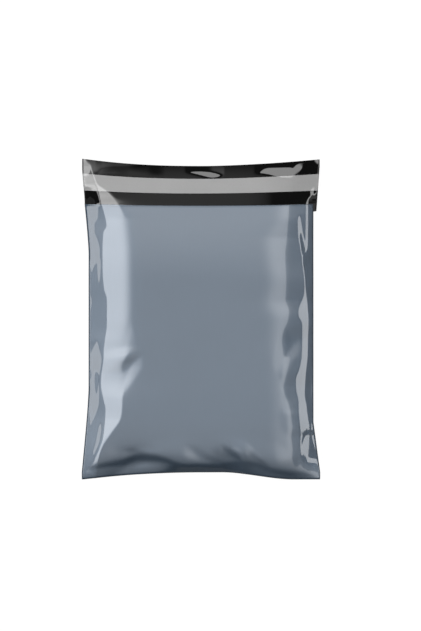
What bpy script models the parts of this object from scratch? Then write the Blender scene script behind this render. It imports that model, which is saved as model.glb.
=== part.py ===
"""Filled poly mailer bag, lying on its back with its flap open.

One folded and welded film makes the pouch and the flap, and the soft goods inside keep it plump.
A release liner covers a line of hot melt adhesive on the flap's black inner face.
+Y runs from the base to the flap, +X to the right and +Z up. The underside rests on z = 0.
Sizes are in millimetres and become metres where points are placed.

The upper film starts from a crown and falls towards each edge. A bend adds to the fall on its
outer side. A pleat adds to it only between its near and far insets, and pinches out at both ends.
"""

import bmesh
import bpy
import numpy as np

MM = 0.001

# Outline of the filled bag, seen from above
WAIST_WIDTH = 237.0
BASE_FLARE = 7.2
BASE_FLARE_LENGTH = 88.0
MOUTH_FLARE = 4.4
MOUTH_FLARE_LENGTH = 52.0
POUCH_LENGTH = 282.7
FLAP_LENGTH = 40.5
BASE_SAG = 6.8
FLAP_SAG = 6.8
MOUTH_SAG = 1.7

# Heights of the film above the surface that the bag lies on
PACK_HEIGHT = 45.0
MOUTH_HEIGHT = 36.0
FLAP_END_HEIGHT = 11.0
LOWEST = 1.0
LOWEST_SOFTNESS = 1.5

# How far from an edge the film starts to fall, or the underside to rise
MOUTH_ROLL = 78.0
SHOULDER_FADE = 34.0
UNDER_ROLL = 50.0
UNDER_MOUTH_ROLL = 62.0
UNDER_POWER = 3.0
CORNER_ROUNDING = 1.5

# The film, and the front ply's free edge over the flap
FILM = 0.3
MOUTH_LIP = 7.4
MOUTH_SLIT = 0.3
FLAP_FLARE_LEFT = 2.6
FLAP_FLARE_RIGHT = 3.8
FLAP_OVERHANG_RIGHT = 3.2
OVERHANG_STEP = 0.5

# Closing strip on the flap
LINER_WIDTH = 15.6
LINER_FROM_MOUTH = 12.8
LINER_FILM = 0.2
ADHESIVE_WIDTH = 10.0
ADHESIVE_THICKNESS = 0.25
SEAT_GAP = 0.1

# Rows and columns of the film's surface
COLUMNS = 50
POUCH_ROWS = 52
LIP_ROWS = 2
BAND_ROWS = 3
GLUE_ROWS = 2
FLAP_END_ROWS = 4
SIDE_CROWDING = 0.5
END_CROWDING = 0.3

# Colours in linear light
GREY_FILM = (0.16, 0.19, 0.23)
LINER_GREY = (0.36, 0.36, 0.36)
ADHESIVE_AMBER = (0.62, 0.56, 0.42)

HALF_WIDTH = WAIST_WIDTH / 2
BASE_Y = -(POUCH_LENGTH + FLAP_LENGTH) / 2
MOUTH_Y = BASE_Y + POUCH_LENGTH
FLAP_END_Y = MOUTH_Y + FLAP_LENGTH

# Bends along each edge. Each has its softness, then stations of its place along the edge, its inset
# from it and how much steeper the film falls beyond it.
LEFT_BENDS = (
    (
        9,
        (
            (168, 8, 0), (148, 10, 0), (142, 12, 0.1), (134, 21, 0.3), (120, 34, 0.4),
            (105, 38.5, 0.41), (90, 41, 0.41), (72, 42.5, 0.41), (20, 43, 0.41), (-10, 42, 0.41),
            (-25, 40, 0.41), (-50, 40, 0.41), (-62, 39, 0.41), (-84, 36, 0.1), (-96, 35, 0),
            (-168, 13, 0),
        ),
    ),
    (
        1.6,
        (
            (168, 8, 0), (-62, 39, 0), (-84, 36.2, 0.31), (-96, 35.8, 0.41), (-104, 34.6, 0.41),
            (-119, 25.4, 0.42), (-135, 15, 0.5), (-143, 12, 0.64), (-155, 9.5, 0.8), (-168, 8, 0.9),
        ),
    ),
    (
        1,
        (
            (168, 0, 0.3), (160, 3, 0.38), (155, 3.5, 0.42), (151, 6, 0.56), (146, 8.8, 0.6),
            (142, 8.8, 0.5), (134, 9.4, 0.31), (120, 13.8, 0.2), (110, 16.8, 0.2), (98, 19.2, 0.2),
            (91, 15.8, 0.2), (72, 14.8, 0.2), (50, 15, 0.2), (32, 16.5, 0.2), (20, 19.6, 0.2),
            (-6, 19.6, 0.2), (-22, 17.8, 0.2), (-42, 15.6, 0.2), (-70, 13.6, 0.2), (-85, 16, 0.2),
            (-95, 18.2, 0.2), (-118, 16.8, 0.2), (-129, 15.6, 0.2), (-135, 14, 0.2), (-143, 11.6, 0.2),
            (-155, 9.1, 0.2), (-168, 7.6, 0.2),
        ),
    ),
)

RIGHT_BENDS = (
    (
        12,
        (
            (168, 30, 0.08), (142, 38, 0.14), (126, 40, 0.2), (100, 42, 0.23), (60, 45, 0.24),
            (-20, 45, 0.24), (-110, 43, 0.24), (-165, 34, 0.24),
        ),
    ),
    (
        1.6,
        (
            (168, 22, 0.1), (142, 26, 0.16), (126, 27, 0.21), (108, 27, 0.21), (84, 27.5, 0.21),
            (70, 29, 0.21), (20, 29, 0.21), (9, 25.5, 0.21), (-2, 27.5, 0.21), (-20, 32, 0.21),
            (-40, 30, 0.21), (-70, 32, 0.21), (-90, 26, 0.21), (-115, 26, 0.21), (-140, 24, 0.24),
            (-168, 20, 0.26),
        ),
    ),
    (
        0.6,
        (
            (168, -12, 0.15), (150, -6, 0.15), (142, 0.5, 0.15), (134, 5, 0.15), (127, 7.6, 0.15),
            (120, 8.4, 0.15), (104, 8.4, 0.15), (96, 12.5, 0.15), (88, 15.8, 0.15), (76, 14.1, 0.15),
            (62, 12, 0.15), (50, 10.6, 0.15), (34, 9.6, 0.15), (27, 9.9, 0.15), (20, 12, 0.15),
            (8, 16.2, 0.15), (3, 16, 0.15), (-4, 12.4, 0.15), (-20, 11.8, 0.15), (-40, 12.6, 0.15),
            (-52, 15, 0.15), (-64, 19, 0.15), (-75, 18.6, 0.15), (-86, 16, 0.15), (-110, 15, 0.15),
            (-138, 13.8, 0.15), (-145, 13, 0.12), (-153, 12, 0.02), (-168, 10, 0),
        ),
    ),
    (
        0.6,
        (
            (168, -20, 0.15), (150, -14, 0.15), (142, -7, 0.15), (134, -0.5, 0.15), (127, 4.4, 0.15),
            (120, 5.6, 0.15), (104, 5.8, 0.15), (96, 11.5, 0.15), (88, 15.2, 0.15), (76, 13.7, 0.15),
            (62, 11.5, 0.15), (50, 9.9, 0.15), (34, 8.6, 0.15), (20, 6.4, 0.15), (0, 5.2, 0.15),
            (-34, 5.6, 0.15), (-60, 8.2, 0.15), (-80, 9.2, 0.15), (-92, 6.6, 0.15), (-104, 5.4, 0.15),
            (-116, 4.6, 0.15), (-130, 5, 0.15), (-143, 6.2, 0.12), (-153, 8, 0.02), (-168, 8, 0),
        ),
    ),
)

BASE_BENDS = (
    (
        18,
        (
            (-130, 40, 0.2), (-80, 46, 0.26), (0, 48, 0.26), (80, 46, 0.26), (130, 40, 0.22),
        ),
    ),
    (
        7,
        (
            (-130, 22, 0.02), (-102, 22, 0.08), (-80, 22, 0.2), (0, 22, 0.2), (90, 22, 0.2),
            (112, 20, 0.12), (130, 20, 0.06),
        ),
    ),
    (
        3,
        (
            (-130, 7, 0), (-106, 7, 0.04), (-84, 7, 0.22), (0, 8, 0.25), (60, 8, 0.25), (100, 7, 0.2),
            (130, 7, 0.05),
        ),
    ),
)

# Pleats along each edge. Each has its softness and how much steeper the film falls in it, then
# stations of its place along the edge and its near and far insets.
LEFT_PLEATS = (
    (
        0.6, 0.13,
        (
            (136, 0.5, 0.5), (121, -4, 8.8), (108, -3, 9.4), (100, -3, 6.2), (92, -3, 6.4),
            (83, -3, 9.8), (72, -2, 12), (63, 1, 10.5), (55, 2.5, 5.5), (46, 3, 3),
        ),
    ),
    (
        0.5, 0.13,
        (
            (70, 10.8, 10.8), (60, 9.2, 13), (50, 9.4, 12.8), (42, 10, 12), (34, 11, 11),
        ),
    ),
    (
        0.8, 0.12,
        (
            (28, 2, 2), (18, 1, 3.4), (8, 0.6, 1.6), (2, 0, 0),
        ),
    ),
    (
        0.6, 0.13,
        (
            (-20, 9, 9), (-29, 5.5, 11.5), (-38, 2, 13.2), (-48, 2, 13), (-58, 3.2, 12.4),
            (-75, 0.8, 11.6), (-90, 0.8, 10.8), (-102, 1.2, 7), (-116, 1.6, 1.6),
        ),
    ),
    (
        0.5, -0.13,
        (
            (-54, 8, 8), (-59, 6.6, 10.4), (-68, 6.8, 10), (-77, 7.6, 9), (-82, 8, 8),
        ),
    ),
    (
        0.5, 0.13,
        (
            (-106, 13, 13), (-115, 10.4, 14), (-131, 7.2, 12.2), (-140, 4.6, 9), (-150, 4, 4),
        ),
    ),
    (
        0.6, 0.13,
        (
            (-98, -5, -5), (-110, -6, -2.6), (-134, -8, -4.8), (-146, -6, -6),
        ),
    ),
)

SHOULDER_PLEATS = (
    (
        1.6, -0.17,
        (
            (-28, 49, 49), (-38, 42, 50), (-44, 38, 47), (-50, 35.5, 42), (-58, 36, 36),
        ),
    ),
    (
        2, 0.16,
        (
            (-34, 58, 58), (-47, 46, 58), (-56, 42, 54), (-68, 38, 46), (-84, 36, 36),
        ),
    ),
    (
        2, 0.13,
        (
            (0, 45, 45), (-20, 40, 51), (-28, 38, 52), (-36, 36, 46), (-46, 36, 36),
        ),
    ),
)

RIGHT_PLEATS = (
    (
        0.5, 0.14,
        (
            (114, 15.6, 15.6), (106, 13.4, 16.8), (97, 11.6, 17), (90, 11.8, 15.4), (84, 13, 13),
        ),
    ),
    (
        0.4, -0.13,
        (
            (98, 11, 11), (89, 10.6, 13.8), (82, 8.2, 12.2), (75, 6, 10.2), (70, 6.5, 8.4),
            (64, 7.2, 7.2),
        ),
    ),
    (
        0.4, -0.13,
        (
            (112, 7, 7), (102, 5.6, 8), (80, 5.7, 7.8), (70, 6.8, 6.8),
        ),
    ),
    (
        2, 0.07,
        (
            (0, 30, 30), (-22, 24, 37), (-34, 27, 41), (-44, 34, 43), (-60, 40, 40),
        ),
    ),
    (
        2, -0.12,
        (
            (-18, 15, 15), (-32, 15, 24), (-44, 22, 32), (-58, 28, 36), (-72, 32, 32),
        ),
    ),
    (
        3, 0.1,
        (
            (-72, 30, 30), (-84, 24, 34), (-94, 26, 33), (-102, 30, 30),
        ),
    ),
    (
        4, -0.12,
        (
            (-82, 30, 30), (-100, 22, 36), (-112, 22, 34), (-126, 28, 28),
        ),
    ),
    (
        0.4, -0.13,
        (
            (-48, 2, 2), (-62, 1, 2.8), (-100, 0.4, 2.6), (-118, -2.5, 2.2), (-140, -5.5, -2.2),
            (-156, -5, -5),
        ),
    ),
    (
        0.4, 0.14,
        (
            (-110, 7, 7), (-117, 6.4, 8.6), (-124, 8.6, 12.6), (-132, 11, 14), (-140, 12, 13.6),
            (-148, 13, 13),
        ),
    ),
)

BASE_PLEATS = (
    (
        2.5, 0.42,
        (
            (-126, 10, 10), (-106, 10.4, 14.4), (-85, 10.6, 16.6), (-64, 14.5, 22), (-50, 13.5, 20.5),
            (-38, 11.5, 16.6), (-24, 7, 10), (-10, 6, 6),
        ),
    ),
    (
        3, -0.3,
        (
            (-96, 3, 3), (-76, -2, 8), (-58, -2, 10.5), (-42, -2, 8), (-22, 2, 2),
        ),
    ),
    (
        2, 0.26,
        (
            (-50, 2, 2), (-24, -2, 6), (0, -2, 8), (22, -2, 6), (56, 0, 0),
        ),
    ),
    (
        4, 0.17,
        (
            (-24, 33, 33), (-8, 23, 30), (6, 14, 21), (20, 10, 14), (34, 10, 10),
        ),
    ),
    (
        4, -0.14,
        (
            (-32, 24, 24), (-10, 14, 21), (6, 8, 13), (24, 6, 6),
        ),
    ),
    (
        4, 0.17,
        (
            (4, 24, 24), (20, 18, 27), (34, 16, 24), (48, 17, 20), (60, 18, 18),
        ),
    ),
    (
        2.5, 0.28,
        (
            (16, 8, 8), (38, 8.5, 13), (56, 9, 14.5), (74, 6, 11), (94, 3, 9), (114, 2, 6),
            (126, 3, 3),
        ),
    ),
    (
        5, -0.12,
        (
            (8, 36, 36), (46, 24, 40), (76, 18, 38), (104, 26, 26),
        ),
    ),
    (
        4, 0.14,
        (
            (-100, 30, 30), (-76, 25, 32), (-60, 27, 33), (-36, 30, 30),
        ),
    ),
    (
        5, -0.12,
        (
            (-84, 24, 24), (-50, 22, 34), (-20, 26, 38), (6, 32, 32),
        ),
    ),
)

FLAP_PLEATS = (
    (
        0.7, 0.26,
        (
            (-19, 4.5, 4.5), (-8, 3.4, 7.2), (6, 3.4, 10), (16, 5, 10.6), (24, 8, 8),
        ),
    ),
    (
        0.7, 0.26,
        (
            (56, 9, 9), (66, 4.4, 10.4), (80, 2.6, 12), (92, 2.6, 13.6), (100, 3.4, 11), (114, 7, 7),
        ),
    ),
    (
        0.6, 0.26,
        (
            (90, 4, 4), (100, 0, 6), (110, -2, 3), (122, 0, 0),
        ),
    ),
    (
        1.5, -0.3,
        (
            (-118, 5, 5), (-100, 3, 9), (-70, 2, 9), (-52, 3, 11), (-36, 4, 10), (-20, 7, 7),
        ),
    ),
)


def ease(t):
    t = np.clip(t, 0.0, 1.0)
    return t * t * (3.0 - 2.0 * t)


def curve(at, places, values):
    """A smooth curve through values at rising places, without overshoot."""
    gap = np.diff(places)
    rise = np.diff(values) / gap
    lean = np.zeros(len(places))
    same = rise[1:] * rise[:-1] > 0
    lean[1:-1][same] = 2 * rise[1:][same] * rise[:-1][same] / (rise[1:][same] + rise[:-1][same])
    at = np.clip(at, places[0], places[-1])
    k = np.clip(np.searchsorted(places, at) - 1, 0, len(gap) - 1)
    t = (at - places[k]) / gap[k]
    pull = gap[k] * t * (1 - t) * ((1 - t) * lean[k] - t * lean[k + 1])
    return values[k] + (values[k + 1] - values[k]) * ease(t) + pull


def columns(stations):
    return np.array(sorted(stations), float).T


def bent(past, softness):
    """How far a sheet has risen past a bend that makes it one steeper."""
    return (past + np.hypot(past, softness)) / 2


def rounded(one, other):
    """Two falls that meet at a corner, as one that turns smoothly from the one to the other."""
    return (one ** CORNER_ROUNDING + other ** CORNER_ROUNDING) ** (1 / CORNER_ROUNDING)


def bend_drop(along, inset, bends):
    drop = 0.0
    for softness, stations in bends:
        places, insets, amounts = columns(stations)
        drop = drop + curve(along, places, amounts) * bent(curve(along, places, insets) - inset, softness)
    return drop


def pleat_drop(along, inset, pleats, fade=None):
    drop = 0.0
    for softness, steeper, stations in pleats:
        places, near, far = columns(stations)
        near = curve(along, places, near)
        far = curve(along, places, far)
        rise = bent(far - inset, softness) - bent(near - inset, softness)
        if fade:
            rise = rise * ease(1 + (inset - near) / fade)
        drop = drop + steeper * rise
    return drop


# Outline


def left_seam(y):
    base = BASE_FLARE * np.clip((BASE_Y + BASE_FLARE_LENGTH - y) / BASE_FLARE_LENGTH, 0, 1) ** 1.25
    mouth = MOUTH_FLARE * np.clip((y - MOUTH_Y) / MOUTH_FLARE_LENGTH + 1, 0, 1) ** 1.3
    return -HALF_WIDTH - base - mouth


def right_seam(y):
    flare_start = BASE_Y + BASE_FLARE_LENGTH * 0.6
    return HALF_WIDTH + BASE_FLARE * np.clip((flare_start - y) / (flare_start - BASE_Y), 0, 1)


def flap_left(y):
    return left_seam(y) - FLAP_FLARE_LEFT * ease((y - MOUTH_Y) / FLAP_LENGTH)


def flap_right(y):
    spread = np.clip((y - MOUTH_Y + MOUTH_LIP) / (FLAP_LENGTH + MOUTH_LIP), 0, 1)
    return right_seam(y) + FLAP_OVERHANG_RIGHT + FLAP_FLARE_RIGHT * spread


def base_line(x):
    left = np.clip(-x / HALF_WIDTH, 0, 1.05) ** 2
    right = 1.1 * ease((x / HALF_WIDTH - 0.18) / 0.66)
    return BASE_Y - BASE_SAG * (left + right)


def mouth_line(x):
    return MOUTH_Y - MOUTH_SAG * (1 - np.clip(np.abs(x) / HALF_WIDTH, 0, 1) ** 2.2)


def flap_end_line(x):
    left = np.clip(-x / HALF_WIDTH, 0, 1.05) ** 2.3
    right = np.clip(x / HALF_WIDTH, 0, 1.05) ** 1.7
    return FLAP_END_Y + FLAP_SAG * (left + right)


# Heights


def crown(x, y):
    """Height along the middle, from the base to the flap's end."""
    pouch = PACK_HEIGHT - (PACK_HEIGHT - MOUTH_HEIGHT) * np.clip((y - MOUTH_Y) / MOUTH_ROLL + 1, 0, 1) ** 2
    out = np.clip((y - mouth_line(x)) / (FLAP_LENGTH + MOUTH_SAG), 0, 1.3)
    return pouch - (MOUTH_HEIGHT - FLAP_END_HEIGHT) * (0.8 * out + 0.2 * out ** 2)


def film_height(x, y):
    """The film's upper surface, over the pouch and on along the flap."""
    left = HALF_WIDTH + x
    right = HALF_WIDTH - x
    base = y - base_line(x)
    end = flap_end_line(x) - y
    side = bend_drop(y, left, LEFT_BENDS) + bend_drop(y, right, RIGHT_BENDS)
    side = side + pleat_drop(y, left, LEFT_PLEATS) + pleat_drop(y, right, RIGHT_PLEATS)
    side = side + pleat_drop(y, left, SHOULDER_PLEATS, SHOULDER_FADE)
    low = bend_drop(x, base, BASE_BENDS)
    fall = rounded(np.clip(side, 0, None), np.clip(low, 0, None))
    height = crown(x, y) - fall - pleat_drop(x, base, BASE_PLEATS) - pleat_drop(x, end, FLAP_PLEATS)
    return LOWEST + bent(height - LOWEST, LOWEST_SOFTNESS)


def closeness(x, y):
    """How near a point is to the side seams or the base, 0 where it rests and 1 at the edge."""
    side = np.maximum(1 - (x - left_seam(y)) / UNDER_ROLL, 1 - (right_seam(y) - x) / UNDER_ROLL)
    base = 1 - (y - base_line(x)) / UNDER_ROLL
    return rounded(np.clip(side, 0, None), np.clip(base, 0, None))


def back_height(x, y):
    """The outer face of the back ply: flat where it rests, then up to the seams and the mouth."""
    mouth = 1 - (mouth_line(x) - y) / UNDER_MOUTH_ROLL
    near = np.clip(rounded(closeness(x, y), np.clip(mouth, 0, 1)), 0, 1)
    return (film_height(x, y) - MOUTH_SLIT - FILM) * near ** UNDER_POWER


# Stations over the plan


def crowded(steps, crowding):
    """Stations from -1 to 1, closer together towards both ends."""
    even = np.linspace(-1, 1, steps + 1)
    return (1 - crowding) * even + crowding * np.sin(np.pi / 2 * even)


def spaced(start, end, steps):
    return list(np.linspace(start, end, steps + 1)[1:])


def pouch_rows():
    """Shares of the way from the base to the mouth slit's inner end."""
    even = np.linspace(0, 1, POUCH_ROWS + 1)
    return list(even - END_CROWDING * np.sin(2 * np.pi * even) / (2 * np.pi))


def flap_rows():
    """Shares of the way from the mouth to the flap's end, with the strip's rows inside them."""
    whole = FLAP_LENGTH + MOUTH_SAG
    low = LINER_FROM_MOUTH / whole
    high = (LINER_FROM_MOUTH + LINER_WIDTH) / whole
    glue_low = low + (LINER_WIDTH - ADHESIVE_WIDTH) / 2 / whole
    glue_high = glue_low + ADHESIVE_WIDTH / whole
    rows = [0.0] + spaced(0, low, BAND_ROWS) + spaced(low, glue_low, 1)
    rows += spaced(glue_low, glue_high, GLUE_ROWS) + spaced(glue_high, high, 1)
    return rows + spaced(high, 1, FLAP_END_ROWS)


def pouch_y(x, share):
    slit_end = mouth_line(x) - MOUTH_LIP
    return base_line(x) + share * (slit_end - base_line(x))


def flap_y(x, share):
    return mouth_line(x) + share * (flap_end_line(x) - mouth_line(x))


def lip_y(x, share):
    return mouth_line(x) - MOUTH_LIP * (1 - share)


def plan(row_y, share, left, right):
    """The x and y of one row's points, whose ends lie on the outline."""
    across = (crowded(COLUMNS, SIDE_CROWDING) + 1) / 2
    x = (2 * across - 1) * HALF_WIDTH
    for _ in range(3):
        y = row_y(x, share)
        x = left(y) + across * (right(y) - left(y))
    return x, y


def row(row_y, share, left, right, height):
    x, y = plan(row_y, share, left, right)
    return np.stack([x, y, height(x, y)], axis=1)


def rows_of(row_y, shares, left, right, height):
    return np.array([row(row_y, share, left, right, height) for share in shares])


# Building


def raised(height, by):
    return lambda x, y: height(x, y) + by


def place(bm, grid, shift):
    return [[bm.verts.new((point - shift) * MM) for point in line] for line in grid]


def skin(bm, lines):
    """Faces between neighbouring lines of vertices."""
    for lower, upper in zip(lines, lines[1:]):
        for i in range(len(lower) - 1):
            bm.faces.new((lower[i], lower[i + 1], upper[i + 1], upper[i]))


def close_side(bm, over, under):
    """Faces between two edges that run side by side at one end of a sheet."""
    for i in range(len(over) - 1):
        bm.faces.new((over[i], over[i + 1], under[i + 1], under[i]))


def material(name, colour, roughness, metallic=0.0):
    made = bpy.data.materials.new(name)
    made.use_nodes = True
    shader = made.node_tree.nodes["Principled BSDF"]
    shader.inputs["Base Color"].default_value = (*colour, 1)
    shader.inputs["Roughness"].default_value = roughness
    shader.inputs["Metallic"].default_value = metallic
    return made


def finish(bm, name, collection, surface):
    bmesh.ops.recalc_face_normals(bm, faces=bm.faces)
    mesh = bpy.data.meshes.new(name)
    bm.to_mesh(mesh)
    bm.free()
    mesh.shade_smooth()
    mesh.set_sharp_from_angle(angle=np.radians(50))
    mesh.materials.append(surface)
    made = bpy.data.objects.new(name, mesh)
    collection.objects.link(made)
    return made


def mailer_bag(collection, surface, shift):
    """The pouch with its contents, the front ply's free edge, and the flap, as one closed solid."""
    body = pouch_rows()
    lip = list(np.linspace(0, 1, LIP_ROWS + 1))
    flap = flap_rows()
    step = 1 - OVERHANG_STEP / POUCH_LENGTH
    body[-1:] = [step]
    seams = (left_seam, right_seam)
    edges = (flap_left, flap_right)
    outside = raised(film_height, FILM)
    inside = raised(film_height, -MOUTH_SLIT)
    behind = raised(film_height, -MOUTH_SLIT - FILM)

    bm = bmesh.new()
    front = place(bm, rows_of(pouch_y, body, *seams, outside), shift)
    lip_top = place(bm, rows_of(lip_y, lip, *seams, outside), shift)
    lip_under = place(bm, rows_of(lip_y, lip, *seams, film_height), shift)
    slit_floor = place(bm, rows_of(lip_y, lip, *edges, inside), shift)
    flap_inner = place(bm, rows_of(flap_y, flap[1:], *edges, inside), shift)
    back = place(bm, rows_of(pouch_y, body, *seams, back_height), shift)
    lip_back = place(bm, rows_of(lip_y, lip, *edges, back_height), shift)
    flap_outer = place(bm, rows_of(flap_y, flap[1:], *edges, behind), shift)

    skin(bm, front + lip_top)
    skin(bm, lip_under + [lip_top[-1]])
    skin(bm, [lip_under[0]] + slit_floor + flap_inner + [flap_outer[-1]])
    skin(bm, back + lip_back + flap_outer)
    skin(bm, [front[0], back[0]])
    for end in (0, -1):
        upper = (front, lip_top, lip_under, slit_floor + flap_inner)
        over, lip_over, lip_below, film_over = [[line[end] for line in lines] for lines in upper]
        under = [line[end] for line in back]
        film_under = [line[end] for line in lip_back + flap_outer]
        close_side(bm, over, under)
        close_side(bm, lip_over, lip_below)
        close_side(bm, film_over, film_under)
        bm.faces.new((over[-1], lip_over[0], lip_below[0], under[-1]))
        bm.faces.new((under[-1], lip_below[0], film_over[0]))
        bm.faces.new((under[-1], film_over[0], film_under[0]))
    resting = [face for face in bm.faces if all(vert.co.z == 0 for vert in face.verts)]
    bmesh.ops.dissolve_faces(bm, faces=resting)
    return finish(bm, "mailer_bag", collection, surface)


def strip(name, collection, surface, shift, shares, above, thickness):
    """A band that lies across the flap between two of its rows."""
    bm = bmesh.new()
    edges = (flap_left, flap_right)
    under = place(bm, rows_of(flap_y, shares, *edges, raised(film_height, above)), shift)
    top = place(bm, rows_of(flap_y, shares, *edges, raised(film_height, above + thickness)), shift)
    skin(bm, under)
    skin(bm, top)
    skin(bm, [under[0], top[0]])
    skin(bm, [under[-1], top[-1]])
    for end in (0, -1):
        close_side(bm, [line[end] for line in top], [line[end] for line in under])
    return finish(bm, name, collection, surface)


def outline_centre():
    """The middle of the bag's box in plan, which becomes the origin."""
    seams = rows_of(pouch_y, pouch_rows(), left_seam, right_seam, crown)
    flap = rows_of(flap_y, flap_rows(), flap_left, flap_right, crown)
    points = np.concatenate([seams, flap])[..., :2].reshape(-1, 2)
    middle = (points.min(axis=0) + points.max(axis=0)) / 2
    return np.array([middle[0], middle[1], 0.0])


def main():
    for old in list(bpy.data.objects):
        bpy.data.objects.remove(old, do_unlink=True)
    collection = bpy.data.collections.new("poly_mailer_bag")
    bpy.context.scene.collection.children.link(collection)
    shift = outline_centre()
    rows = flap_rows()
    low = 1 + BAND_ROWS
    liner_rows = rows[low - 1 : low + GLUE_ROWS + 2]
    glue_rows = liner_rows[1:-1]
    glue_seat = -MOUTH_SLIT + SEAT_GAP
    liner_seat = glue_seat + ADHESIVE_THICKNESS + SEAT_GAP
    mailer_bag(collection, material("grey_film", GREY_FILM, 0.22), shift)
    strip(
        "adhesive_strip",
        collection,
        material("hot_melt", ADHESIVE_AMBER, 0.35),
        shift,
        glue_rows,
        glue_seat,
        ADHESIVE_THICKNESS,
    )
    strip(
        "release_liner",
        collection,
        material("release_liner", LINER_GREY, 0.4),
        shift,
        liner_rows,
        liner_seat,
        LINER_FILM,
    )


main()
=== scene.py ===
import bpy
import numpy as np
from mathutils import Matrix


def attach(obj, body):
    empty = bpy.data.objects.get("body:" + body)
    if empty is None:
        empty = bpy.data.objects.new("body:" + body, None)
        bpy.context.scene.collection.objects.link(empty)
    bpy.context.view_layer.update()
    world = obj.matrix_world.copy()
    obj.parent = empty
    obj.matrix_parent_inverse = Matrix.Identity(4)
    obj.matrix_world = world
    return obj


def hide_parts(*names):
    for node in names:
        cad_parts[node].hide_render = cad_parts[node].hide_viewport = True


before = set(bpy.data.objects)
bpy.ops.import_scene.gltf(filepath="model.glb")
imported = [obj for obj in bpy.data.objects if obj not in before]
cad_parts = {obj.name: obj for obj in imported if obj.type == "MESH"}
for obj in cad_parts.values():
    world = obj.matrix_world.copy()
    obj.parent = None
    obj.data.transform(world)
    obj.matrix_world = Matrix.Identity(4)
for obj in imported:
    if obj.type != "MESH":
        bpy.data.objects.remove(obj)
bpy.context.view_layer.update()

# Filled poly mailer bag, lying on its back with its flap open.
# +Y runs from the base to the flap, +X to the right and +Z up, and the underside rests on z = 0.
# Sizes are in millimetres where no comment says otherwise, and become metres where points are placed.
# The upper film starts from a crown and falls towards each edge. A bend adds to the fall on its outer
# side. A pleat adds to it only between its near and far insets, and pinches out at both ends.
MM = 0.001

# Outline of the filled bag, seen from above
WAIST_WIDTH = 237.0
BASE_FLARE = 7.2
BASE_FLARE_LENGTH = 88.0
MOUTH_FLARE = 4.4
MOUTH_FLARE_LENGTH = 52.0
POUCH_LENGTH = 282.7
FLAP_LENGTH = 40.5
BASE_SAG = 6.8
FLAP_SAG = 6.8
MOUTH_SAG = 1.7

HALF_WIDTH = WAIST_WIDTH / 2
BASE_Y = -(POUCH_LENGTH + FLAP_LENGTH) / 2
MOUTH_Y = BASE_Y + POUCH_LENGTH
FLAP_END_Y = MOUTH_Y + FLAP_LENGTH
FLAP_REACH = FLAP_LENGTH + MOUTH_SAG

# How the outline curves. The powers are of a share of the way along. The rest are shares of a length,
# of a sag or of the half width, and a reach is how far out a curve goes on.
BASE_FLARE_POWER = 1.25
MOUTH_FLARE_POWER = 1.3
RIGHT_FLARE_SHARE = 0.6
BASE_LEFT_POWER = 2
BASE_RIGHT_SHARE = 1.1
BASE_RIGHT_START = 0.18
BASE_RIGHT_SPAN = 0.66
MOUTH_POWER = 2.2
MOUTH_CURVE_REACH = 1.1
FLAP_LEFT_POWER = 2.3
FLAP_RIGHT_POWER = 1.7
END_CURVE_REACH = 1.05

# Heights of the film above the surface that the bag lies on
PACK_HEIGHT = 45.0
MOUTH_HEIGHT = 38.0
FLAP_END_HEIGHT = 16.0
LOWEST = 1.0
LOWEST_SOFTNESS = 1.5

# How the crown falls: over the roll towards the mouth, then along the flap, partly at an even slope
MOUTH_ROLL = 78.0
MOUTH_FALL_POWER = 2
FLAP_EVEN_FALL = 0.8
FLAP_CURVED_FALL = 0.2
FLAP_FALL_REACH = 1.3

# How far outboard of its near inset a shoulder pleat's effect ends
SHOULDER_FADE = 34.0

# How far from an edge the underside starts to rise, and the power that keeps it low at first
UNDER_ROLL = 50.0
UNDER_MOUTH_ROLL = 62.0
UNDER_POWER = 3.0

# How two falls meet at a corner: as a plain sum at 1, and as the larger of the two far above it
CORNER_ROUNDING = 1.15

# The film, and the front ply's free edge over the flap. It thins towards the edge, and has a bead.
FILM = 0.3
MOUTH_LIP = 7.4
MOUTH_SLIT = 0.3
OVERHANG_STEP = 0.5
LIP_THINNING = 0.35
THINNEST_SHARE = 0.2
BEAD_INSET = 0.9
BEAD_SHARE = 0.6
BEAD_HEIGHT = 0.3

# How far the flap spreads past the seams
FLAP_FLARE_LEFT = 2.6
FLAP_FLARE_RIGHT = 3.8
FLAP_OVERHANG_RIGHT = 3.2

# How the edges turn down: over this width, by this slope and how softly
EDGE_TURN = 0.9
EDGE_STEEPER = 0.9
EDGE_SOFTNESS = 0.35

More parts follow.
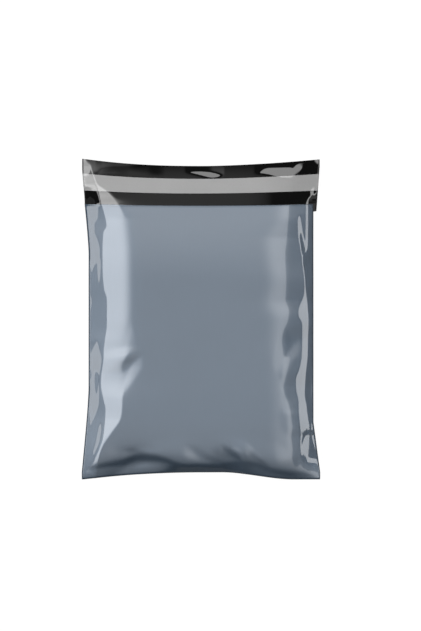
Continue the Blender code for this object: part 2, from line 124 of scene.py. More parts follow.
# Bends along each edge. Each has its softness, then stations of its place along the edge, its inset
# from it and how much steeper the film falls beyond it.
LEFT_BENDS = (
    (9, (
        (168, 36, 0), (130, 38, 0), (120, 38.5, 0.11), (112, 39, 0.24), (103, 39.5, 0.41),
        (90, 41, 0.41), (72, 42.5, 0.41), (20, 43, 0.41), (-10, 42, 0.41), (-25, 40, 0.41),
        (-50, 40, 0.41), (-62, 39, 0.41), (-84, 36, 0.1), (-96, 35, 0), (-168, 13, 0),
    )),
    (0.35, (
        (172, -5, 0.42), (166, -2, 0.42), (161, 2.2, 0.43), (157, 3.2, 0.44), (151, 5.2, 0.45),
        (146, 7.2, 0.46), (142, 8.8, 0.47), (138, 14, 0.47), (134, 20, 0.46), (127, 27, 0.38),
        (120, 32, 0.28), (112, 36, 0.16), (103, 38.5, 0), (-62, 39, 0), (-84, 36.2, 0.31),
        (-96, 35.8, 0.41), (-104, 34.6, 0.41), (-119, 25.4, 0.42), (-135, 15, 0.47),
        (-143, 12, 0.5), (-155, 9.5, 0.54), (-168, 8, 0.56),
    )),
    (0.35, (
        (172, -5, 0.2), (166, -2, 0.2), (161, 2.2, 0.2), (157, 3.2, 0.2), (151, 5.2, 0.2),
        (146, 7.2, 0.2), (141, 8.8, 0.21), (135, 9.4, 0.38), (130, 11, 0.46), (123, 12.6, 0.54),
        (121, 13.4, 0.3), (111, 16.6, 0.23), (98, 19.2, 0.2), (91, 15.8, 0.2), (72, 14.8, 0.2),
        (50, 15, 0.2), (32, 16.5, 0.2), (20, 19.6, 0.2), (-6, 19.6, 0.2), (-22, 17.8, 0.2),
        (-42, 15.6, 0.2), (-70, 13.6, 0.2), (-85, 16, 0.2), (-95, 18.2, 0.2), (-118, 16.8, 0.2),
        (-129, 15.6, 0.2), (-135, 14, 0.2), (-143, 11.6, 0.2), (-155, 9.1, 0.2), (-168, 7.6, 0.2),
    )),
)

RIGHT_BENDS = (
    (12, (
        (172, 36, 0.22), (142, 36, 0.23), (120, 35, 0.23), (108, 36, 0.23), (95, 43, 0.24),
        (84, 48, 0.25), (62, 46, 0.26), (40, 44, 0.23), (20, 47, 0.25), (0, 42, 0.22),
        (-22, 43, 0.21), (-44, 44, 0.15), (-80, 43, 0.14), (-100, 40, 0.2), (-118, 44, 0.16),
        (-165, 34, 0.2),
    )),
    (3, (
        (172, 16, 0.16), (160, 20, 0.2), (142, 25, 0.21), (126, 26, 0.21), (108, 27, 0.21),
        (84, 27.5, 0.2), (70, 29, 0.2), (20, 29, 0.21), (9, 25.5, 0.22), (-2, 27.5, 0.22),
        (-20, 32, 0.25), (-40, 31, 0.3), (-70, 33, 0.3), (-90, 26, 0.3), (-115, 26, 0.26),
        (-146, 23, 0.26), (-160, 21, 0.17), (-172, 18, 0.12),
    )),
    (0.6, (
        (172, -12, 0.15), (138, -11, 0.15), (132, -2, 0.15), (127, 5.6, 0.15), (121, 8.2, 0.15),
        (78, 8.6, 0.15), (73, 9.4, 0.15), (69.5, 10.8, 0.15), (66.5, 12.2, 0.15), (60, 11.9, 0.15),
        (50, 10.6, 0.15), (34, 9.6, 0.15), (27, 9.9, 0.15), (20, 12, 0.15), (8, 16.2, 0.15),
        (3, 16, 0.15), (-4, 12.4, 0.15), (-20, 11.8, 0.15), (-40, 12.6, 0.15), (-52, 15, 0.15),
        (-64, 19, 0.15), (-75, 18.6, 0.15), (-86, 16, 0.15), (-110, 15, 0.15), (-138, 13.8, 0.15),
        (-143, 13.2, 0.15), (-157, 11.4, 0.04), (-170, 10, 0),
    )),
    (0.6, (
        (172, -12, 0.15), (138, -11, 0.15), (132, -2.2, 0.15), (127, 5.2, 0.15), (121, 5.6, 0.15),
        (78, 5.7, 0.15), (73, 6.4, 0.15), (69.5, 8.2, 0.15), (66.5, 11, 0.15), (60, 11.3, 0.15),
        (50, 9.9, 0.15), (34, 8.6, 0.15), (20, 6.4, 0.15), (0, 5.2, 0.15), (-34, 5.6, 0.15),
        (-60, 8.2, 0.15), (-80, 9.2, 0.15), (-92, 6.6, 0.15), (-104, 5.4, 0.15), (-116, 4.6, 0.15),
        (-130, 5, 0.15), (-143, 6.2, 0.15), (-157, 7, 0.04), (-170, 7, 0),
    )),
)

BASE_BENDS = (
    (18, (
        (-130, 40, 0.2), (-80, 46, 0.25), (-40, 45, 0.22), (0, 44, 0.2), (40, 45, 0.23),
        (80, 46, 0.26), (104, 42, 0.29), (130, 40, 0.29),
    )),
    (7, (
        (-130, 24, 0.16), (-102, 24, 0.18), (-80, 22, 0.22), (0, 18, 0.27), (60, 22, 0.22),
        (112, 22, 0.14), (130, 22, 0.1),
    )),
    (3, (
        (-130, 7, 0.1), (-106, 7, 0.12), (-84, 7, 0.22), (-30, 8, 0.34), (0, 9, 0.38),
        (30, 9, 0.34), (60, 8, 0.2), (100, 7, 0.1), (130, 7, 0.04),
    )),
)

# Pleats along each edge. Each has its softness and how much steeper the film falls in it, then
# stations of its place along the edge and its near and far insets.
LEFT_PLEATS = (
    (0.5, -0.24, (
        (176, -9, -9), (168, -9, -3), (162, -9, 0.6), (158.2, -9, 2), (155, -9, 1.4),
        (152, -9, -0.9), (147, -9, -9),
    )),
    (0.5, 0.13, (
        (133, 1.5, 1.5), (125, -2, 6.6), (120, -3, 8.8), (114, -3, 9.6), (107, -3, 9.6),
        (100, -3, 6.2), (92, -3, 6.4), (83, -3, 9.8), (72, -2, 12), (63, 1, 10.5), (55, 2.5, 5.5),
        (46, 3, 3),
    )),
    (0.5, 0.13, (
        (70, 10.8, 10.8), (60, 9.2, 13), (50, 9.4, 12.8), (42, 10, 12), (34, 11, 11),
    )),
    (0.8, 0.12, (
        (28, 2, 2), (18, 1, 3.4), (8, 0.6, 1.6), (2, 0, 0),
    )),
    (0.6, 0.13, (
        (-20, 9, 9), (-29, 5.5, 11.5), (-38, 2, 13.2), (-48, 2, 13), (-58, 3.2, 12.4),
        (-75, 0.8, 11.6), (-90, 0.8, 10.8), (-102, 1.2, 7), (-116, 1.6, 1.6),
    )),
    (0.5, -0.13, (
        (-54, 8, 8), (-59, 6.6, 10.4), (-68, 6.8, 10), (-77, 7.6, 9), (-82, 8, 8),
    )),
    (0.5, 0.13, (
        (-106, 13, 13), (-115, 10.4, 14), (-131, 7.2, 12.2), (-140, 4.6, 9), (-150, 4, 4),
    )),
    (0.6, 0.13, (
        (-98, -5, -5), (-110, -6, -2.6), (-134, -8, -4.8), (-146, -6, -6),
    )),
)

SHOULDER_PLEATS = (
    (1.6, -0.17, (
        (-28, 49, 49), (-38, 42, 50), (-44, 38, 47), (-50, 35.5, 42), (-58, 36, 36),
    )),
    (2, 0.16, (
        (-34, 58, 58), (-47, 46, 58), (-56, 42, 54), (-68, 38, 46), (-84, 36, 36),
    )),
    (2, 0.08, (
        (0, 45, 45), (-20, 40, 51), (-28, 38, 52), (-36, 36, 46), (-46, 36, 36),
    )),
)

RIGHT_PLEATS = (
    (0.4, 0.15, (
        (142, -0.8, -0.8), (139, -1.2, 0.2), (136.5, -0.9, 3.6), (132, -0.2, 3.3), (128, 0.7, 2.3),
        (125, 1.4, 1.4),
    )),
    (0.4, 0.15, (
        (110.5, 15.4, 15.4), (108, 13.8, 16.4), (103, 12.9, 17), (92, 11.2, 16.6), (83, 9.6, 15.6),
        (77, 8.8, 14.4), (72, 9.6, 13.6), (66.5, 12.2, 12.2),
    )),
    (0.4, 0.15, (
        (92.5, 13.6, 13.6), (88, 12.2, 14.5), (83, 11.3, 14.2), (77, 9.8, 13.3), (72, 9, 12.8),
        (68.5, 11, 12.4), (66.5, 11.7, 11.7),
    )),
    (2, 0.07, (
        (0, 30, 30), (-22, 24, 37), (-34, 27, 41), (-44, 34, 43), (-60, 40, 40),
    )),
    (2, -0.12, (
        (-18, 15, 15), (-32, 15, 24), (-44, 22, 32), (-58, 28, 36), (-72, 32, 32),
    )),
    (3, 0.1, (
        (-72, 30, 30), (-84, 24, 34), (-94, 26, 33), (-102, 30, 30),
    )),
    (4, -0.12, (
        (-82, 30, 30), (-100, 22, 36), (-112, 22, 34), (-126, 28, 28),
    )),
    (0.4, -0.13, (
        (-48, 2, 2), (-62, 1, 2.8), (-100, 0.4, 2.6), (-118, -2.5, 2.2), (-140, -5.5, -2.2),
        (-156, -5, -5),
    )),
    (0.4, 0.14, (
        (-110, 7, 7), (-117, 6.4, 8.6), (-124, 8.6, 12.6), (-132, 11, 14), (-140, 12, 13.6),
        (-148, 13, 13),
    )),
)

BASE_PLEATS = (
    (2.5, 0.42, (
        (-126, 10, 10), (-106, 10.4, 14.4), (-85, 10.6, 16.6), (-64, 14.5, 22), (-50, 13.5, 20.5),
        (-38, 11.5, 16.6), (-24, 7, 10), (-10, 6, 6),
    )),
    (3, -0.3, (
        (-96, 3, 3), (-76, -2, 8), (-58, -2, 10.5), (-42, -2, 8), (-22, 2, 2),
    )),
    (2, 0.26, (
        (-50, 2, 2), (-24, -2, 6), (0, -2, 8), (22, -2, 6), (56, 0, 0),
    )),
    (4, 0.17, (
        (-24, 33, 33), (-8, 23, 30), (6, 14, 21), (20, 10, 14), (34, 10, 10),
    )),
    (4, -0.14, (
        (-32, 24, 24), (-10, 14, 21), (6, 8, 13), (24, 6, 6),
    )),
    (4, 0.17, (
        (4, 24, 24), (20, 18, 27), (34, 16, 24), (48, 17, 20), (60, 18, 18),
    )),
    (2.5, 0.28, (
        (16, 8, 8), (38, 8.5, 13), (56, 9, 14.5), (74, 6, 11), (94, 3, 9), (114, 2, 6), (126, 3, 3),
    )),
    (5, -0.12, (
        (8, 36, 36), (46, 24, 40), (76, 18, 38), (104, 26, 26),
    )),
    (2, 0.16, (
        (-84, 27, 27), (-72, 24, 29), (-62, 22.5, 25), (-52, 22, 22),
    )),
    (2.2, 0.2, (
        (18, 30, 30), (28, 21, 28), (38, 15, 21), (46, 13, 13),
    )),
    (2.2, 0.2, (
        (44, 27, 27), (54, 20, 26), (64, 14.5, 19), (74, 12, 12),
    )),
    (2.5, -0.14, (
        (30, 36, 36), (44, 27, 36), (58, 20, 27), (70, 17, 17),
    )),
    (4, 0.14, (
        (-100, 30, 30), (-76, 25, 32), (-60, 27, 33), (-36, 30, 30),
    )),
    (5, -0.12, (
        (-84, 24, 24), (-50, 22, 34), (-20, 26, 38), (6, 32, 32),
    )),
)

FLAP_PLEATS = (
    (0.6, 0.27, (
        (-17, 6.6, 6.6), (-9.5, 5.6, 8.2), (-1, 5.5, 10.3), (6.3, 5.9, 12.4), (11.6, 6.7, 13.5),
        (18, 8.4, 12.7), (24, 10.4, 10.4),
    )),
    (0.6, 0.27, (
        (56, 9.9, 9.9), (61, 8.9, 10.3), (66.5, 5.5, 11.3), (71, 4.7, 12.4), (83, 5.1, 16.7),
        (94, 5.7, 18.6), (97, 6.3, 18.9), (100, 3.2, 16.8), (104.4, 1, 13.2), (107, 0.4, 9.5),
        (109, -0.4, 5.4), (112, -1, 3), (117, -2, 0.5), (122, -2, -2),
    )),
    (2, -0.31, (
        (-130, -4, 14), (-112, -4, 14), (-104, -4, 9), (-92, -4, 6.5), (-76, -4, 5), (-56, -3, 1),
        (-44, -2, -2),
    )),
    (1.5, -0.27, (
        (-112, 14, 14), (-104, 10.5, 14.5), (-92, 8.5, 13.5), (-76, 8, 12), (-56, 9, 11.5),
        (-38, 10.5, 10.5),
    )),
)

# Closing strip on the flap
LINER_WIDTH = 15.6
LINER_FROM_MOUTH = 12.8
LINER_FILM = 0.2
ADHESIVE_WIDTH = 10.0
ADHESIVE_THICKNESS = 0.25
SEAT_GAP = 0.1
ADHESIVE_SEAT = -MOUTH_SLIT + SEAT_GAP
LINER_SEAT = ADHESIVE_SEAT + ADHESIVE_THICKNESS + SEAT_GAP

# Rows and columns of the surfaces, and how much they crowd together towards the ends
COLUMNS = 210
POUCH_ROWS = 180
LIP_ROWS = 12
FLAP_ROWS = 36
STRIP_ROWS = 14
SIDE_CROWDING = 0.6
END_CROWDING = 0.3

# Rows that find the middle of the outline, and rounds in which a row's points settle on the plan
OUTLINE_SEAM_ROWS = 60
OUTLINE_FLAP_ROWS = 20
SETTLING_ROUNDS = 3

# Angle between two faces past which their edge shows as sharp, in degrees
SHARP_ANGLE = 50

# Colours in linear light
GREY_FILM = (0.073, 0.103, 0.142)
BLACK_FILM = (0.003, 0.003, 0.003)
LINER_GREY = (0.297, 0.297, 0.297)
ADHESIVE_DARK = (0.5, 0.44, 0.32)
ADHESIVE_LIGHT = (0.66, 0.6, 0.46)

# The film's clear coat, and how much the roughness under it varies
COAT_IOR = 1.92
COAT_ROUGHNESS = 0.03
ROUGHNESS_CHANGE = 0.08

# The film's texture: lines drawn out along the bag, clouds and a fine grain. The tones and bumps are
# shares, and a bump's distance is in metres.
LINE_DRAW = (1.0, 0.06, 1.0)
LINE_NOISE = {"Scale": 900.0, "Detail": 3.0, "Roughness": 0.6}
CLOUD_NOISE = {"Scale": 22.0, "Detail": 4.0, "Roughness": 0.55}
GRAIN_NOISE = {"Scale": 2600.0, "Detail": 2.0}
CLOUD_TONE = 0.6
LINE_TONE = 0.4
TONE_SPAN = (0.32, 0.68)
GRAIN_BUMP = 0.5
LINE_BUMP = 0.5
FILM_BUMP = {"Strength": 0.25, "Distance": 0.00003}

# The adhesive's texture: streaks drawn out across the bag, which also change its roughness
STREAK_DRAW = (0.08, 1.0, 1.0)
STREAK_NOISE = {"Scale": 700.0, "Detail": 3.0}
STREAK_SPAN = (0.3, 0.7)
STREAK_BUMP = {"Strength": 0.4, "Distance": 0.0001}
ADHESIVE_ROUGHNESS = 0.25
STREAK_ROUGHNESS = 0.2

# Soft boxes. Each has its strength, then its low and high edges and how soft each is, across and then
# along the bag. Places are the slopes of film that mirror the box to a viewer overhead.
STUDIO_BOXES = (
    (2.5, (0.235, 0.51, 0.27, 0.015), (-0.60, 0.30, 0.03, 0.16)),
    (0.9, (-0.32, -0.12, 0.02, 0.18), (-0.36, 0.35, 0.08, 0.3)),
    (2.5, (-0.66, -0.53, 0.01, 0.01), (-0.55, 0.21, 0.05, 0.04)),
    (2.5, (0.675, 0.82, 0.02, 0.02), (-0.6, 0.42, 0.05, 0.1)),
    (2.1, (-0.5, 0.6, 0.05, 0.05), (-1.0, -0.79, 0.015, 0.03)),
    (0.95, (-0.45, 0.67, 0.5, 0.05), (-0.32, 0.45, 0.14, 0.7)),
    (0.6, (-0.4, 0.6, 0.4, 0.3), (-0.32, -0.06, 0.12, 0.2)),
    (0.75, (0.02, 0.35, 0.16, 0.2), (-0.62, -0.32, 0.12, 0.1)),
    (0.3, (-0.92, -0.6, 0.05, 0.06), (-0.36, 0.5, 0.08, 0.3)),
)
AMBIENT = 0.02

# Floor, with sizes in metres
FLOOR_SIZE = 8.0
FLOOR_DROP = 0.0004
FLOOR_SHADE = 0.09
FLOOR_MATT = 0.05
FLOOR_GLOW = 0.97

# Camera, in metres, and its sensor in millimetres
CAMERA_DISTANCE = 6.0
OUTLINE_HEIGHT = 0.02
FRAME_WIDTH = 0.4441
FRAME_CENTRE = (0.0100, 0.0037)
FARTHEST_SEEN = 50.0
SENSOR_WIDTH = 36.0


def smooth(t):
    """From 0 to 1 with a level start and end. It takes numbers, arrays and shader values."""
    return t * t * (3.0 - 2.0 * t)


def ease(t):
    return smooth(np.clip(t, 0.0, 1.0))


def curve(at, places, values):
    """A smooth curve through values at rising places, without overshoot."""
    gap = np.diff(places)
    rise = np.diff(values) / gap
    lean = np.zeros(len(places))
    same = rise[1:] * rise[:-1] > 0
    lean[1:-1][same] = 2 * rise[1:][same] * rise[:-1][same] / (rise[1:][same] + rise[:-1][same])
    at = np.clip(at, places[0], places[-1])
    k = np.clip(np.searchsorted(places, at) - 1, 0, len(gap) - 1)
    t = (at - places[k]) / gap[k]
    pull = gap[k] * t * (1 - t) * ((1 - t) * lean[k] - t * lean[k + 1])
    return values[k] + (values[k + 1] - values[k]) * ease(t) + pull


def columns(stations):
    """Stations in rising order, as one array for each of their numbers."""
    return np.array(sorted(stations), float).T


def bent(past, softness):
    """How far a sheet has risen past a bend that makes it one steeper."""
    return (past + np.hypot(past, softness)) / 2


def rounded(one, other):
    """Two falls that meet at a corner, as one that turns smoothly from the one to the other."""
    return (one ** CORNER_ROUNDING + other ** CORNER_ROUNDING) ** (1 / CORNER_ROUNDING)


def bend_drop(along, inset, bends):
    """How far the bends along one edge lower the film."""
    drop = 0.0
    for softness, stations in bends:
        places, insets, amounts = columns(stations)
        past = curve(along, places, insets) - inset
        drop = drop + curve(along, places, amounts) * bent(past, softness)
    return drop


def pleat_drop(along, inset, pleats, fade=None):
    """How far the pleats along one edge lower the film, with a fade only that far towards the edge."""
    drop = 0.0
    for softness, steeper, stations in pleats:
        places, near, far = columns(stations)
        near = curve(along, places, near)
        far = curve(along, places, far)
        rise = bent(far - inset, softness) - bent(near - inset, softness)
        if fade:
            rise = rise * ease(1 + (inset - near) / fade)
        drop = drop + steeper * rise
    return drop


# Outline


def left_seam(y):
    past_base = (BASE_Y + BASE_FLARE_LENGTH - y) / BASE_FLARE_LENGTH
    to_mouth = (y - MOUTH_Y) / MOUTH_FLARE_LENGTH + 1
    base = BASE_FLARE * np.clip(past_base, 0, 1) ** BASE_FLARE_POWER
    mouth = MOUTH_FLARE * np.clip(to_mouth, 0, 1) ** MOUTH_FLARE_POWER
    return -HALF_WIDTH - base - mouth


def right_seam(y):
    flare_start = BASE_Y + BASE_FLARE_LENGTH * RIGHT_FLARE_SHARE
    return HALF_WIDTH + BASE_FLARE * np.clip((flare_start - y) / (flare_start - BASE_Y), 0, 1)


def flap_left(y):
    return left_seam(y) - FLAP_FLARE_LEFT * ease((y - MOUTH_Y) / FLAP_LENGTH)


def flap_right(y):
    spread = np.clip((y - MOUTH_Y + MOUTH_LIP) / (FLAP_LENGTH + MOUTH_LIP), 0, 1)
    return right_seam(y) + FLAP_OVERHANG_RIGHT + FLAP_FLARE_RIGHT * spread


def base_line(x):
    left = np.clip(-x / HALF_WIDTH, 0, END_CURVE_REACH) ** BASE_LEFT_POWER
    right = BASE_RIGHT_SHARE * ease((x / HALF_WIDTH - BASE_RIGHT_START) / BASE_RIGHT_SPAN)
    return BASE_Y - BASE_SAG * (left + right)


def mouth_line(x):
    out = np.clip(np.abs(x) / HALF_WIDTH, 0, MOUTH_CURVE_REACH)
    return MOUTH_Y - MOUTH_SAG * (1 - out ** MOUTH_POWER)


def flap_end_line(x):
    left = np.clip(-x / HALF_WIDTH, 0, END_CURVE_REACH) ** FLAP_LEFT_POWER
    right = np.clip(x / HALF_WIDTH, 0, END_CURVE_REACH) ** FLAP_RIGHT_POWER
    return FLAP_END_Y + FLAP_SAG * (left + right)


# Upper film


def crown(x, y):
    """Height along the middle, from the base to the flap's end."""
    to_mouth = np.clip((y - MOUTH_Y) / MOUTH_ROLL + 1, 0, 1)
    pouch = PACK_HEIGHT - (PACK_HEIGHT - MOUTH_HEIGHT) * to_mouth ** MOUTH_FALL_POWER
    out = np.clip((y - mouth_line(x)) / FLAP_REACH, 0, FLAP_FALL_REACH)
    fall = FLAP_EVEN_FALL * out + FLAP_CURVED_FALL * out ** 2
    return pouch - (MOUTH_HEIGHT - FLAP_END_HEIGHT) * fall


def film_height(x, y):
    """The film's upper surface, over the pouch and on along the flap."""
    left = HALF_WIDTH + x
    right = HALF_WIDTH - x
    base = y - base_line(x)
    end = flap_end_line(x) - y
    side = bend_drop(y, left, LEFT_BENDS) + bend_drop(y, right, RIGHT_BENDS)
    side = side + pleat_drop(y, left, LEFT_PLEATS) + pleat_drop(y, right, RIGHT_PLEATS)
    side = side + pleat_drop(y, left, SHOULDER_PLEATS, SHOULDER_FADE)
    low = bend_drop(x, base, BASE_BENDS)
    fall = rounded(np.clip(side, 0, None), np.clip(low, 0, None))
    height = crown(x, y) - fall - pleat_drop(x, base, BASE_PLEATS) - pleat_drop(x, end, FLAP_PLEATS)
    return LOWEST + bent(height - LOWEST, LOWEST_SOFTNESS)


def turned_down(x, y, right):
    """The upper surface with its left, right and base edges turned down."""
    insets = (x - flap_left(y), right - x, y - base_line(x))
    turn = sum(bent(EDGE_TURN - inset, EDGE_SOFTNESS) for inset in insets)
    return film_height(x, y) - EDGE_STEEPER * turn


def front_height(x, y):
    return turned_down(x, y, right_seam(y))


def flap_height(x, y):
    return turned_down(x, y, flap_right(y))


def lip_height(x, y):
    """The front ply over the flap, thinner at its free edge and with its bead."""
    out = mouth_line(x) - y
    from_bead = (out - BEAD_INSET) / (BEAD_SHARE * BEAD_INSET)
    bead = BEAD_HEIGHT * np.exp(-(from_bead ** 2))
    return front_height(x, y) + FILM * np.clip(out / LIP_THINNING, THINNEST_SHARE, 1) + bead


# Back ply


def closeness(x, y):
    """How near a point is to the side seams or the base, 0 where it rests and 1 at the edge."""
    side = np.maximum(1 - (x - left_seam(y)) / UNDER_ROLL, 1 - (right_seam(y) - x) / UNDER_ROLL)
    base = 1 - (y - base_line(x)) / UNDER_ROLL
    return rounded(np.clip(side, 0, None), np.clip(base, 0, None))


def back_height(x, y):
    """The outer face of the back ply: flat where it rests, then up to the seams and the mouth."""
    mouth = 1 - (mouth_line(x) - y) / UNDER_MOUTH_ROLL
    near = np.clip(rounded(closeness(x, y), np.clip(mouth, 0, 1)), 0, 1)
    return (film_height(x, y) - MOUTH_SLIT - FILM) * near ** UNDER_POWER


def lip_back_height(x, y):
    """The back ply under the slit, which turns down at its edges with the flap."""
    return back_height(x, y) + np.minimum(flap_height(x, y) - film_height(x, y), 0)


# Stations over the plan


def crowded(steps, crowding):
    """Stations from 0 to 1, closer together towards both ends."""
    even = np.linspace(-1, 1, steps + 1)
    return 0.5 + 0.5 * ((1 - crowding) * even + crowding * np.sin(np.pi / 2 * even))


def pouch_y(x, share):
    slit_end = mouth_line(x) - MOUTH_LIP
    return base_line(x) + share * (slit_end - base_line(x))


def lip_y(x, share):
    return mouth_line(x) - MOUTH_LIP * (1 - share)


def flap_y(x, share):
    return mouth_line(x) + share * (flap_end_line(x) - mouth_line(x))


def rows_of(row_y, shares, left, right, height):
    """Points in rows across the bag, whose ends lie on the outline."""
    across = crowded(COLUMNS, SIDE_CROWDING)
    lines = []
    for share in shares:
        x = (2 * across - 1) * HALF_WIDTH
        for _ in range(SETTLING_ROUNDS):
            y = row_y(x, share)
            x = left(y) + across * (right(y) - left(y))
        lines.append(np.stack([x, y, height(x, y)], axis=1))
    return np.array(lines)


def outline_centre():
    """The middle of the bag's box in plan, which is the frame's origin."""
    seams = rows_of(pouch_y, crowded(OUTLINE_SEAM_ROWS, 0.0), left_seam, right_seam, crown)
    flap = rows_of(flap_y, crowded(OUTLINE_FLAP_ROWS, 0.0), flap_left, flap_right, crown)
    points = np.concatenate([seams, flap])[..., :2].reshape(-1, 2)
    return np.append((points.min(axis=0) + points.max(axis=0)) / 2, 0.0)


def raised(height, by):
    return lambda x, y: height(x, y) + by


# Meshes


class Sheets:
    """Vertices and faces gathered from rows of points."""

    def __init__(self, shift):
        self.shift = shift
        self.points = []
        self.faces = []
        self.finishes = []
        self.count = 0

    def place(self, grid):
        """Adds rows of points, and gives the rows of their numbers."""
        rows, columns = grid.shape[:2]
        self.points.append(((grid - self.shift) * MM).reshape(-1, 3))
        numbers = np.arange(self.count, self.count + rows * columns).reshape(rows, columns)
        self.count += rows * columns
        return numbers

    def skin(self, lines, finish=0, flip=False):
        """Faces between neighbouring rows, or between two edges that run side by side."""
        lines = np.asarray(lines)
        a, b, c, d = lines[:-1, :-1], lines[:-1, 1:], lines[1:, 1:], lines[1:, :-1]
        quads = np.stack([a, d, c, b] if flip else [a, b, c, d], axis=-1).reshape(-1, 4)
        self.faces += quads.tolist()
        self.finishes += [finish] * len(quads)

    def fill(self, corners, flip=False):
        self.faces.append(list(reversed(corners)) if flip else list(corners))
        self.finishes.append(0)

    def made(self, name, materials):
        mesh = bpy.data.meshes.new(name)
        mesh.from_pydata(np.concatenate(self.points).tolist(), [], self.faces)
        for material in materials:
            mesh.materials.append(material)
        mesh.polygons.foreach_set("material_index", self.finishes)
        mesh.shade_smooth()
        mesh.set_sharp_from_angle(angle=np.radians(SHARP_ANGLE))
        mesh.validate()
        mesh.update()
        piece = bpy.data.objects.new(name, mesh)
        bpy.context.scene.collection.objects.link(piece)
        return piece


def filled_bag(shift, grey, black):
    """The pouch, the front ply's free edge with the slit under it, and the flap, as one closed skin."""
    body = crowded(POUCH_ROWS, END_CROWDING)
    body[-1] = 1 - OVERHANG_STEP / POUCH_LENGTH
    lip = np.linspace(0, 1, LIP_ROWS + 1)
    flap = np.linspace(0, 1, FLAP_ROWS + 1)[1:]
    seams = (left_seam, right_seam)
    edges = (flap_left, flap_right)
    inside = raised(flap_height, -MOUTH_SLIT)
    outside = raised(flap_height, -MOUTH_SLIT - FILM)
    bag = Sheets(shift)
    front = bag.place(rows_of(pouch_y, body, *seams, raised(front_height, FILM)))
    lip_top = bag.place(rows_of(lip_y, lip, *seams, lip_height))
    lip_under = bag.place(rows_of(lip_y, lip, *seams, front_height))
    slit_floor = bag.place(rows_of(lip_y, lip, *edges, inside))
    flap_inner = bag.place(rows_of(flap_y, flap, *edges, inside))
    back = bag.place(rows_of(pouch_y, body, *seams, back_height))
    lip_back = bag.place(rows_of(lip_y, lip, *edges, lip_back_height))
    flap_outer = bag.place(rows_of(flap_y, flap, *edges, outside))

    film_over = np.concatenate([slit_floor, flap_inner])
    film_under = np.concatenate([lip_back, flap_outer])
    bag.skin(np.concatenate([front, lip_top]))
    bag.skin([lip_top[-1], lip_under[-1]])
    bag.skin(lip_under, finish=1, flip=True)
    bag.skin([lip_under[0], slit_floor[0]], finish=1)
    bag.skin(film_over, finish=1)
    bag.skin([film_over[-1], film_under[-1]])
    bag.skin(np.concatenate([back, film_under]), flip=True)
    bag.skin([back[0], front[0]])
    for end, flip in ((0, False), (-1, True)):
        bag.skin([front[:, end], back[:, end]], flip=flip)
        bag.skin([lip_top[:, end], lip_under[:, end]], flip=flip)
        bag.skin([film_over[:, end], film_under[:, end]], flip=flip)
        bag.fill([front[-1, end], back[-1, end], lip_under[0, end], lip_top[0, end]], flip)
        bag.fill([lip_under[0, end], back[-1, end], slit_floor[0, end]], flip)
        bag.fill([slit_floor[0, end], back[-1, end], lip_back[0, end]], flip)
    return bag.made("filled_bag", (grey, black))


def laid_strip(name, shift, from_mouth, width, above, thickness, material):
    """A band of film or adhesive across the flap, as wide as given and that far from the mouth."""
    shares = np.linspace(from_mouth, from_mouth + width, STRIP_ROWS + 1) / FLAP_REACH
    edges = (flap_left, flap_right)
    strip = Sheets(shift)
    under = strip.place(rows_of(flap_y, shares, *edges, raised(flap_height, above)))
    top = strip.place(rows_of(flap_y, shares, *edges, raised(flap_height, above + thickness)))
    strip.skin(top)
    strip.skin(under, flip=True)
    strip.skin([under[0], top[0]])
    strip.skin([top[-1], under[-1]])
    strip.skin([top[:, 0], under[:, 0]])
    strip.skin([top[:, -1], under[:, -1]], flip=True)
    return strip.made(name, (material,))


# Shaders


class Value:
    """A shader socket that takes part in sums as a number does."""

    def __init__(self, tree, socket):
        self.tree = tree
        self.socket = socket

    def maths(self, operation, other, clamp=False):
        node = self.tree.nodes.new("ShaderNodeMath")
        node.operation = operation
        node.use_clamp = clamp
        for slot, part in zip(node.inputs, (self, other)):
            if isinstance(part, Value):
                self.tree.links.new(part.socket, slot)
            else:
                slot.default_value = part
        return Value(self.tree, node.outputs[0])

    def clamped(self):
        return self.maths("ADD", 0.0, clamp=True)

    def __add__(self, other):
        return self.maths("ADD", other)

    def __mul__(self, other):
        return self.maths("MULTIPLY", other)

    def __sub__(self, other):
        return self.maths("SUBTRACT", other)

    def __rsub__(self, other):
        return self.maths("MULTIPLY", -1.0).maths("ADD", other)

    def __truediv__(self, other):
        return self.maths("DIVIDE", other)

    __rmul__ = __mul__


class Shader:
    """The node tree of a material or of the world."""

    def __init__(self, owner):
        owner.use_nodes = True
        self.tree = owner.node_tree
        self.tree.nodes.clear()

    def node(self, kind, stops=(), **sockets):
        """One node with its sockets set or linked. A socket's name may be _ and its number."""
        made = self.tree.nodes.new("ShaderNode" + kind)
        if stops:
            self.set_stops(made.color_ramp, stops)
        for name, value in sockets.items():
            socket = made.inputs[int(name[1:]) if name[0] == "_" else name.replace("_", " ")]
            if isinstance(value, Value):
                self.tree.links.new(value.socket, socket)
            elif isinstance(value, bpy.types.NodeSocket):
                self.tree.links.new(value, socket)
            else:
                socket.default_value = value
        return made

    def set_stops(self, ramp, stops):
        while len(ramp.elements) < len(stops):
            ramp.elements.new(1.0)
        for element, (place, colour) in zip(ramp.elements, stops):
            element.position = place
            element.color = (*colour, 1)

    def value(self, node, output=0):
        return Value(self.tree, node.outputs[output])


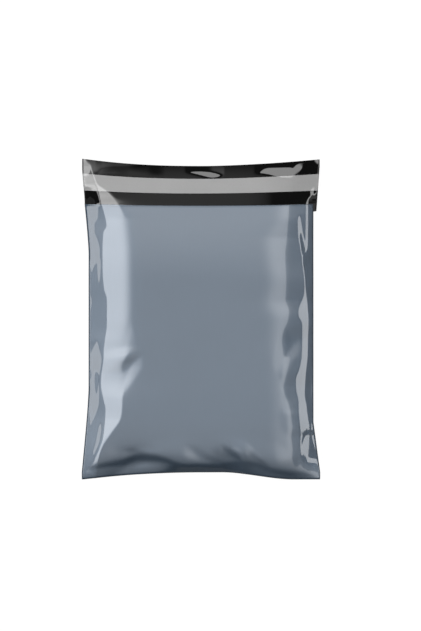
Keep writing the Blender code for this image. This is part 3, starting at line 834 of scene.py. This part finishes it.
def film_material(name, colour, metallic, roughness, coat, lines):
    """Glossy film: a pearly base under a clear gloss, with faint extrusion lines and mottling."""
    made = bpy.data.materials.new(name)
    shader = Shader(made)
    place = shader.node("TexCoord").outputs["Object"]
    drawn = shader.node("Mapping", Vector=place, Scale=LINE_DRAW).outputs[0]
    line = shader.value(shader.node("TexNoise", Vector=drawn, **LINE_NOISE))
    cloud = shader.value(shader.node("TexNoise", Vector=place, **CLOUD_NOISE))
    grain = shader.value(shader.node("TexNoise", Vector=place, **GRAIN_NOISE))
    dark = tuple(c * (1 - lines) for c in colour)
    light = tuple(c * (1 + lines) for c in colour)
    tone = cloud * CLOUD_TONE + line * LINE_TONE
    tint = shader.node("ValToRGB", stops=tuple(zip(TONE_SPAN, (dark, light))), Fac=tone)
    bump = shader.node("Bump", Height=grain * GRAIN_BUMP + line * LINE_BUMP, **FILM_BUMP)
    base = shader.node(
        "BsdfPrincipled",
        Base_Color=tint.outputs[0],
        Metallic=metallic,
        Roughness=cloud * ROUGHNESS_CHANGE + (roughness - ROUGHNESS_CHANGE / 2),
        Coat_Weight=coat,
        Coat_Roughness=COAT_ROUGHNESS,
        Coat_IOR=COAT_IOR,
        Specular_IOR_Level=0.0,
        Normal=bump.outputs[0],
    )
    shader.node("OutputMaterial", Surface=base.outputs[0])
    return made


def adhesive_material():
    """Amber hot melt, with streaks along the line."""
    made = bpy.data.materials.new("hot_melt_line")
    shader = Shader(made)
    place = shader.node("TexCoord").outputs["Object"]
    drawn = shader.node("Mapping", Vector=place, Scale=STREAK_DRAW).outputs[0]
    streak = shader.value(shader.node("TexNoise", Vector=drawn, **STREAK_NOISE))
    stops = tuple(zip(STREAK_SPAN, (ADHESIVE_DARK, ADHESIVE_LIGHT)))
    tint = shader.node("ValToRGB", stops=stops, Fac=streak)
    bump = shader.node("Bump", Height=streak, **STREAK_BUMP)
    base = shader.node(
        "BsdfPrincipled",
        Base_Color=tint.outputs[0],
        Roughness=streak * STREAK_ROUGHNESS + ADHESIVE_ROUGHNESS,
        Normal=bump.outputs[0],
    )
    shader.node("OutputMaterial", Surface=base.outputs[0])
    return made


# Studio


def soft_box(value, low, high, soft_low, soft_high):
    """1 between low and high and 0 outside them, with a soft edge centred on each."""
    rise = ((value - low) / soft_low + 0.5).clamped()
    fall = ((high - value) / soft_high + 0.5).clamped()
    return smooth(rise) * smooth(fall)


def plain_grey(shade):
    """A grey with its alpha."""
    return (shade, shade, shade, 1)


def studio_light():
    """Soft boxes, placed by the slopes that mirror them to a viewer overhead. The camera sees white."""
    world = bpy.data.worlds.new("studio")
    bpy.context.scene.world = world
    shader = Shader(world)
    direction = shader.node("TexCoord").outputs["Generated"]
    parts = shader.node("SeparateXYZ", Vector=direction)
    x, y, z = (shader.value(parts, i) for i in range(3))
    depth = z.maths("MAXIMUM", 0.0) + 1.0
    across = x * -1.0 / depth
    along = y * -1.0 / depth
    total = None
    for strength, wide, long in STUDIO_BOXES:
        lit = soft_box(across, *wide) * soft_box(along, *long) * strength
        total = lit if total is None else total + lit
    seen = shader.value(shader.node("LightPath"), 0)
    light = shader.node("Background", Color=plain_grey(1), Strength=total + AMBIENT)
    paper = shader.node("Background", Color=plain_grey(1), Strength=1.0)
    both = shader.node("MixShader", _0=seen, _1=light.outputs[0], _2=paper.outputs[0])
    shader.node("OutputWorld", Surface=both.outputs[0])


def floor():
    """A pale floor, wide enough for every view. It glows for the camera only."""
    bpy.ops.mesh.primitive_plane_add(size=FLOOR_SIZE, location=(0, 0, -FLOOR_DROP))
    ground = bpy.context.object
    ground.name = "studio_floor"
    made = bpy.data.materials.new("pale_floor")
    shader = Shader(made)
    seen = shader.value(shader.node("LightPath"), 0)
    faint = shader.node("BsdfDiffuse", Color=plain_grey(FLOOR_SHADE))
    glow = shader.node("Emission", Color=plain_grey(1), Strength=FLOOR_GLOW)
    matt = shader.node("BsdfDiffuse", Color=plain_grey(FLOOR_MATT))
    pale = shader.node("AddShader", _0=matt.outputs[0], _1=glow.outputs[0])
    both = shader.node("MixShader", _0=seen, _1=faint.outputs[0], _2=pale.outputs[0])
    shader.node("OutputMaterial", Surface=both.outputs[0])
    ground.data.materials.append(made)


def camera():
    """Straight above the bag, from far enough to see it nearly flat on."""
    data = bpy.data.cameras.new("overhead")
    data.sensor_fit = "HORIZONTAL"
    data.sensor_width = SENSOR_WIDTH
    data.lens = SENSOR_WIDTH * CAMERA_DISTANCE / FRAME_WIDTH
    data.clip_end = FARTHEST_SEEN
    view = bpy.data.objects.new("overhead", data)
    view.location = (*FRAME_CENTRE, CAMERA_DISTANCE + OUTLINE_HEIGHT)
    bpy.context.scene.collection.objects.link(view)
    bpy.context.scene.camera = view


def main():
    bpy.context.scene.view_settings.view_transform = "Standard"
    camera()
    studio_light()
    floor()
    outer = film_material(
        "grey_outer_film", GREY_FILM, metallic=0.7, roughness=0.43, coat=1.0, lines=0.03
    )
    inner = film_material(
        "black_inner_film", BLACK_FILM, metallic=0.0, roughness=0.4, coat=1.0, lines=0.1
    )
    liner = film_material(
        "grey_liner_film", LINER_GREY, metallic=0.0, roughness=0.5, coat=0.8, lines=0.04
    )
    hot_melt = adhesive_material()
    shift = outline_centre()
    bag = filled_bag(shift, outer, inner)
    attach(bag, "root")
    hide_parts("mailer_bag")
    glue_from = LINER_FROM_MOUTH + (LINER_WIDTH - ADHESIVE_WIDTH) / 2
    glue = laid_strip(
        "glue_line", shift, glue_from, ADHESIVE_WIDTH, ADHESIVE_SEAT, ADHESIVE_THICKNESS, hot_melt
    )
    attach(glue, "root")
    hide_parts("adhesive_strip")
    strip = laid_strip(
        "peel_off_liner", shift, LINER_FROM_MOUTH, LINER_WIDTH, LINER_SEAT, LINER_FILM, liner
    )
    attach(strip, "root")
    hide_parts("release_liner")


main()
